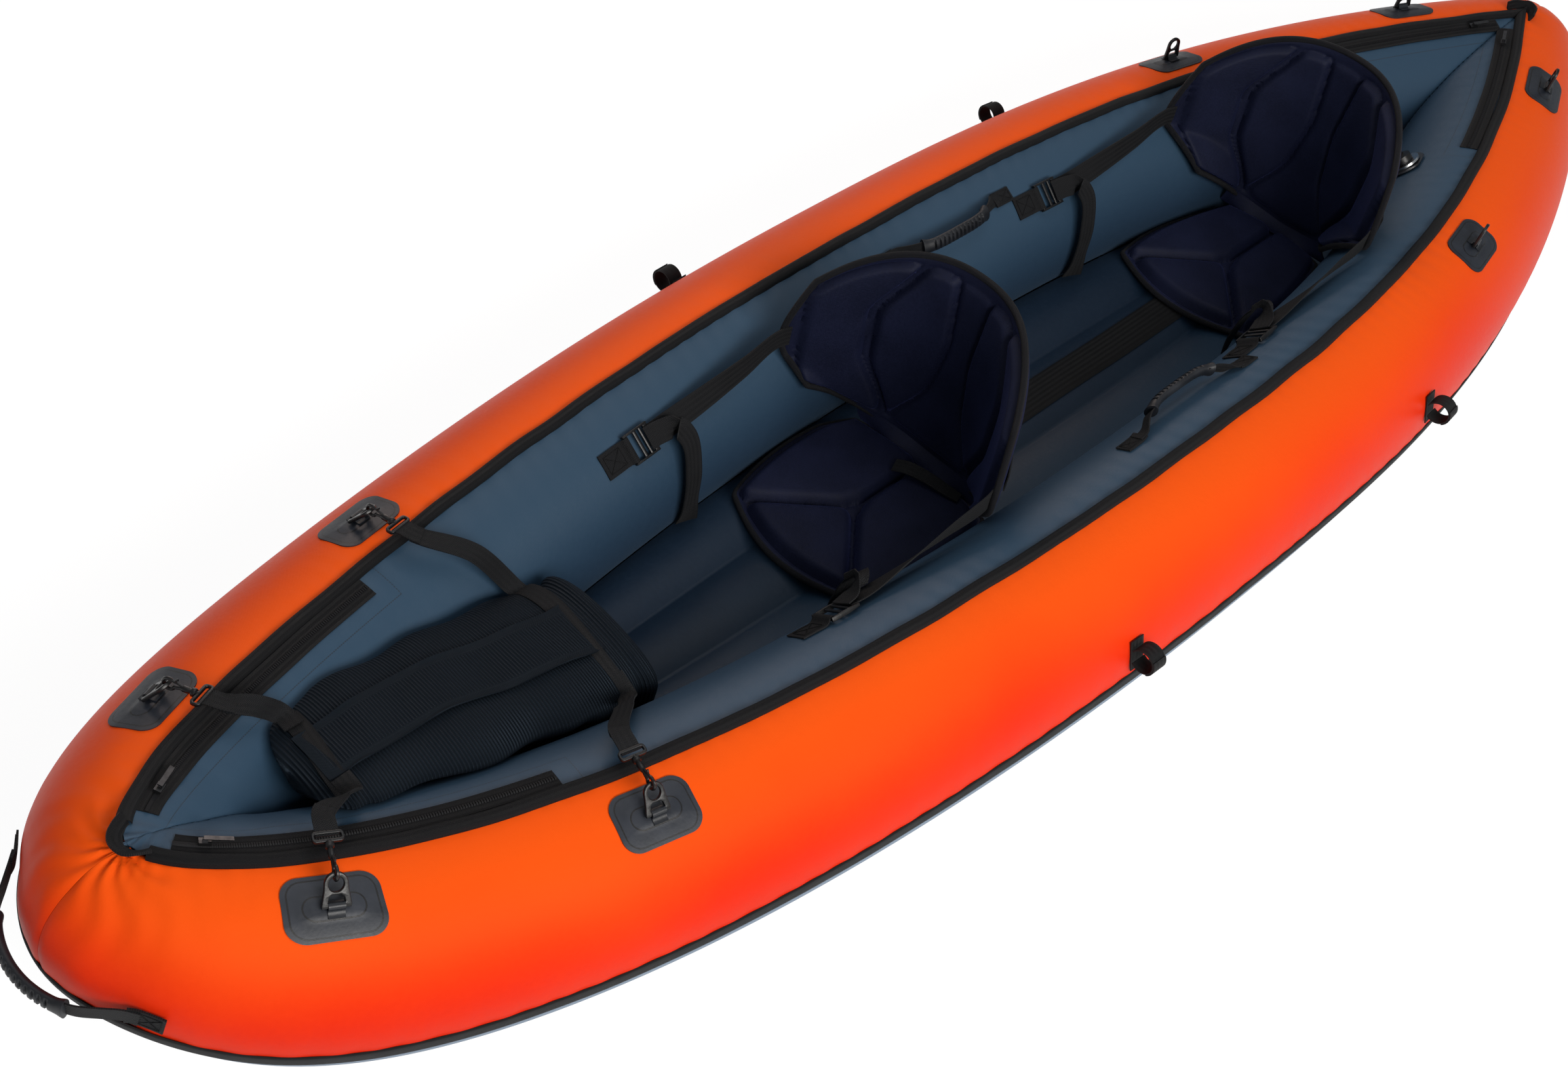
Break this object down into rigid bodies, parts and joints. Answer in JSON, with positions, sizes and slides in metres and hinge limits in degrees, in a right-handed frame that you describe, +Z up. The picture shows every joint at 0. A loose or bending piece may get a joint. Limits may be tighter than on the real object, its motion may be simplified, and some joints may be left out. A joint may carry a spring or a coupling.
{
  "type": "inflatable tandem kayak",
  "caption": "Open inflatable tandem kayak: fabric-covered side tubes, inflated floor, strapped winged seats, bow bag, tie rings, zips and carry handles.",
  "frame": {"origin": "middle of the overall length and beam, on the ground under the flat bottom", "axes": "+X to the bow, +Y to port, +Z up"},
  "size_m": [3.346, 0.993, 0.4772],
  "materials": {
    "cover": "satin coated polyester, orange-red",
    "lining": "satin coated polyester, slate blue",
    "bottom": "matt tarpaulin, blue-grey",
    "trim": "black woven tape and piping",
    "bladder": "glossy vinyl, dark grey",
    "strip": "black hook-and-loop",
    "valve_ring": "bright",
    "valve_plastic": "moulded black",
    "slider": "black zinc",
    "patch": "matt sheet, dark slate",
    "plastic": "moulded black acetal",
    "bag": "black ribbed mesh",
    "seat": "navy-black nylon over foam",
    "webbing": "black webbing",
    "grip": "black rubber on webbing"
  },
  "bodies": {
    "hull": {"port_cover": "cover", "starboard_cover": "cover", "port_lining": "lining", "starboard_lining": "lining", "floor_lining": "lining", "bottom_panel": "bottom", "chine_tape": "trim", "gunwale_piping": "trim", "stem_bindings": "trim", "zip_tapes": "trim", "port_bladder": "bladder", "starboard_bladder": "bladder", "floor_bladder": "bladder", "floor_inlet": "bladder", "floor_strip": "strip", "floor_valve": "valve_ring", "tube_valves": "valve_plastic", "ring_patches": "patch", "ring_loops": "patch", "bag_body": "bag", "bag_flap": "bag", "front_seat_base": "seat", "rear_seat_base": "seat", "bag_fore_straps": "webbing", "bag_aft_straps": "webbing", "buckle_tabs": "webbing", "handle_tabs": "webbing", "paddle_keepers": "webbing", "front_port_strap": "webbing", "front_starboard_strap": "webbing", "rear_port_strap": "webbing", "rear_starboard_strap": "webbing"},
    "front_back": {"front_seat_back": "seat"},
    "rear_back": {"rear_seat_back": "seat"},
    "valve_cap": {"floor_valve_cap": "valve_plastic"},
    "port_grip": {"port_handle": "grip"},
    "starboard_grip": {"starboard_handle": "grip"},
    "bow_grip": {"bow_handle": "grip"},
    "stern_grip": {"stern_handle": "grip"},
    "tie_ring_port_1": {"ring_port_1": "plastic"},
    "tie_ring_port_2": {"ring_port_2": "plastic"},
    "tie_ring_port_3": {"ring_port_3": "plastic"},
    "tie_ring_port_4": {"ring_port_4": "plastic"},
    "snap_hook_port_1": {"hook_port_1": "plastic"},
    "snap_hook_port_2": {"hook_port_2": "plastic"},
    "lock_front_port": {"front_port_buckle": "plastic"},
    "lock_rear_port": {"rear_port_buckle": "plastic"},
    "zip_pull_bow_port": {"bow_port_slider": "slider"},
    "zip_pull_stern_port": {"stern_port_slider": "slider"},
    "tie_ring_starboard_1": {"ring_starboard_1": "plastic"},
    "tie_ring_starboard_2": {"ring_starboard_2": "plastic"},
    "tie_ring_starboard_3": {"ring_starboard_3": "plastic"},
    "tie_ring_starboard_4": {"ring_starboard_4": "plastic"},
    "snap_hook_starboard_1": {"hook_starboard_1": "plastic"},
    "snap_hook_starboard_2": {"hook_starboard_2": "plastic"},
    "lock_front_starboard": {"front_starboard_buckle": "plastic"},
    "lock_rear_starboard": {"rear_starboard_buckle": "plastic"},
    "zip_pull_bow_starboard": {"bow_starboard_slider": "slider"},
    "zip_pull_stern_starboard": {"stern_starboard_slider": "slider"}
  },
  "joints": [
    {"name": "front_seat_recline", "type": "hinge", "parent": "hull", "child": "front_back", "pos_m": [0.142, 0, 0.1152], "axis": [0, 1, 0], "range_deg": [-25, 2], "deforming": ["front_port_strap", "front_starboard_strap"]},
    {"name": "rear_seat_recline", "type": "hinge", "parent": "hull", "child": "rear_back", "pos_m": [-0.798, 0, 0.1152], "axis": [0, 1, 0], "range_deg": [-25, 2], "deforming": ["rear_port_strap", "rear_starboard_strap"]},
    {"name": "port_ring_1_pivot", "type": "hinge", "parent": "hull", "child": "tie_ring_port_1", "pos_m": [1.3754, 0.17936, 0.35091], "axis": [0.8992, -0.4037, 0.1686], "range_deg": [-20, 4], "deforming": ["bag_fore_straps"]},
    {"name": "port_ring_2_pivot", "type": "hinge", "parent": "hull", "child": "tie_ring_port_2", "pos_m": [1.00217, 0.28867, 0.30727], "axis": [0.9789, -0.196, 0.0573], "range_deg": [-20, 4], "deforming": ["bag_aft_straps"]},
    {"name": "port_ring_3_pivot", "type": "hinge", "parent": "hull", "child": "tie_ring_port_3", "pos_m": [-0.79642, 0.3133, 0.29842], "axis": [0.9811, 0.1935, -0.0025], "range_deg": [-90, 60]},
    {"name": "port_ring_4_pivot", "type": "hinge", "parent": "hull", "child": "tie_ring_port_4", "pos_m": [-1.30822, 0.15434, 0.30397], "axis": [0.9155, 0.4019, -0.021], "range_deg": [-90, 60]},
    {"name": "port_hook_1_swing", "type": "hinge", "parent": "tie_ring_port_1", "child": "snap_hook_port_1", "pos_m": [1.36201, 0.16049, 0.37717], "axis": [0.8992, -0.4037, 0.1686], "range_deg": [-25, 4], "deforming": ["bag_fore_straps"]},
    {"name": "port_hook_2_swing", "type": "hinge", "parent": "tie_ring_port_2", "child": "snap_hook_port_2", "pos_m": [0.99625, 0.26689, 0.33403], "axis": [0.9789, -0.196, 0.0573], "range_deg": [-25, 4], "deforming": ["bag_aft_straps"]},
    {"name": "front_port_buckle_tilt", "type": "hinge", "parent": "hull", "child": "lock_front_port", "pos_m": [0.60942, 0.18809, 0.26863], "axis": [0.076, 0.7509, 0.6561], "range_deg": [0, 30], "deforming": ["front_port_strap"]},
    {"name": "rear_port_buckle_tilt", "type": "hinge", "parent": "hull", "child": "lock_rear_port", "pos_m": [-0.31518, 0.21128, 0.26856], "axis": [-0.0353, 0.7539, 0.6561], "range_deg": [0, 30], "deforming": ["rear_port_strap"]},
    {"name": "bow_port_zip", "type": "slide", "parent": "hull", "child": "zip_pull_bow_port", "axis": [-0.8575, 0.4676, -0.2145], "range_m": [0, 0.05]},
    {"name": "stern_port_zip", "type": "slide", "parent": "hull", "child": "zip_pull_stern_port", "axis": [0.9093, 0.4155, -0.0247], "range_m": [0, 0.05]},
    {"name": "port_handle_swing", "type": "hinge", "parent": "hull", "child": "port_grip", "pos_m": [-0.10835, 0.24155, 0.28527], "axis": [1, 0.0084, 0], "range_deg": [-60, 25]},
    {"name": "starboard_ring_1_pivot", "type": "hinge", "parent": "hull", "child": "tie_ring_starboard_1", "pos_m": [1.3754, -0.17936, 0.35091], "axis": [-0.8992, -0.4037, -0.1686], "range_deg": [-20, 4], "deforming": ["bag_fore_straps"]},
    {"name": "starboard_ring_2_pivot", "type": "hinge", "parent": "hull", "child": "tie_ring_starboard_2", "pos_m": [1.00217, -0.28867, 0.30727], "axis": [-0.9789, -0.196, -0.0573], "range_deg": [-20, 4], "deforming": ["bag_aft_straps"]},
    {"name": "starboard_ring_3_pivot", "type": "hinge", "parent": "hull", "child": "tie_ring_starboard_3", "pos_m": [-0.79642, -0.3133, 0.29842], "axis": [-0.9811, 0.1935, 0.0025], "range_deg": [-90, 60]},
    {"name": "starboard_ring_4_pivot", "type": "hinge", "parent": "hull", "child": "tie_ring_starboard_4", "pos_m": [-1.30822, -0.15434, 0.30397], "axis": [-0.9155, 0.4019, 0.021], "range_deg": [-90, 60]},
    {"name": "starboard_hook_1_swing", "type": "hinge", "parent": "tie_ring_starboard_1", "child": "snap_hook_starboard_1", "pos_m": [1.36201, -0.16049, 0.37717], "axis": [-0.8992, -0.4037, -0.1686], "range_deg": [-25, 4], "deforming": ["bag_fore_straps"]},
    {"name": "starboard_hook_2_swing", "type": "hinge", "parent": "tie_ring_starboard_2", "child": "snap_hook_starboard_2", "pos_m": [0.99625, -0.26689, 0.33403], "axis": [-0.9789, -0.196, -0.0573], "range_deg": [-25, 4], "deforming": ["bag_aft_straps"]},
    {"name": "front_starboard_buckle_tilt", "type": "hinge", "parent": "hull", "child": "lock_front_starboard", "pos_m": [0.60942, -0.18809, 0.26863], "axis": [-0.076, 0.7509, -0.6561], "range_deg": [0, 30], "deforming": ["front_starboard_strap"]},
    {"name": "rear_starboard_buckle_tilt", "type": "hinge", "parent": "hull", "child": "lock_rear_starboard", "pos_m": [-0.31518, -0.21128, 0.26856], "axis": [0.0353, 0.7539, -0.6561], "range_deg": [0, 30], "deforming": ["rear_starboard_strap"]},
    {"name": "bow_starboard_zip", "type": "slide", "parent": "hull", "child": "zip_pull_bow_starboard", "axis": [-0.8575, -0.4676, -0.2145], "range_m": [0, 0.05]},
    {"name": "stern_starboard_zip", "type": "slide", "parent": "hull", "child": "zip_pull_stern_starboard", "axis": [0.9093, -0.4155, -0.0247], "range_m": [0, 0.05]},
    {"name": "starboard_handle_swing", "type": "hinge", "parent": "hull", "child": "starboard_grip", "pos_m": [-0.10835, -0.24155, 0.28527], "axis": [-1, 0.0084, 0], "range_deg": [-60, 25]},
    {"name": "bow_handle_swing", "type": "hinge", "parent": "hull", "child": "bow_grip", "pos_m": [1.60103, 0, 0.28669], "axis": [0, 1, 0], "range_deg": [-40, 35]},
    {"name": "stern_handle_swing", "type": "hinge", "parent": "hull", "child": "stern_grip", "pos_m": [-1.54752, 0, 0.19296], "axis": [0, -1, 0], "range_deg": [-40, 35]},
    {"name": "floor_valve_turn", "type": "hinge", "parent": "hull", "child": "valve_cap", "pos_m": [-0.95241, 0.09774, 0.2516], "axis": [0.2137, -0.7356, 0.6428], "range_deg": [0, 90]}
  ]
}
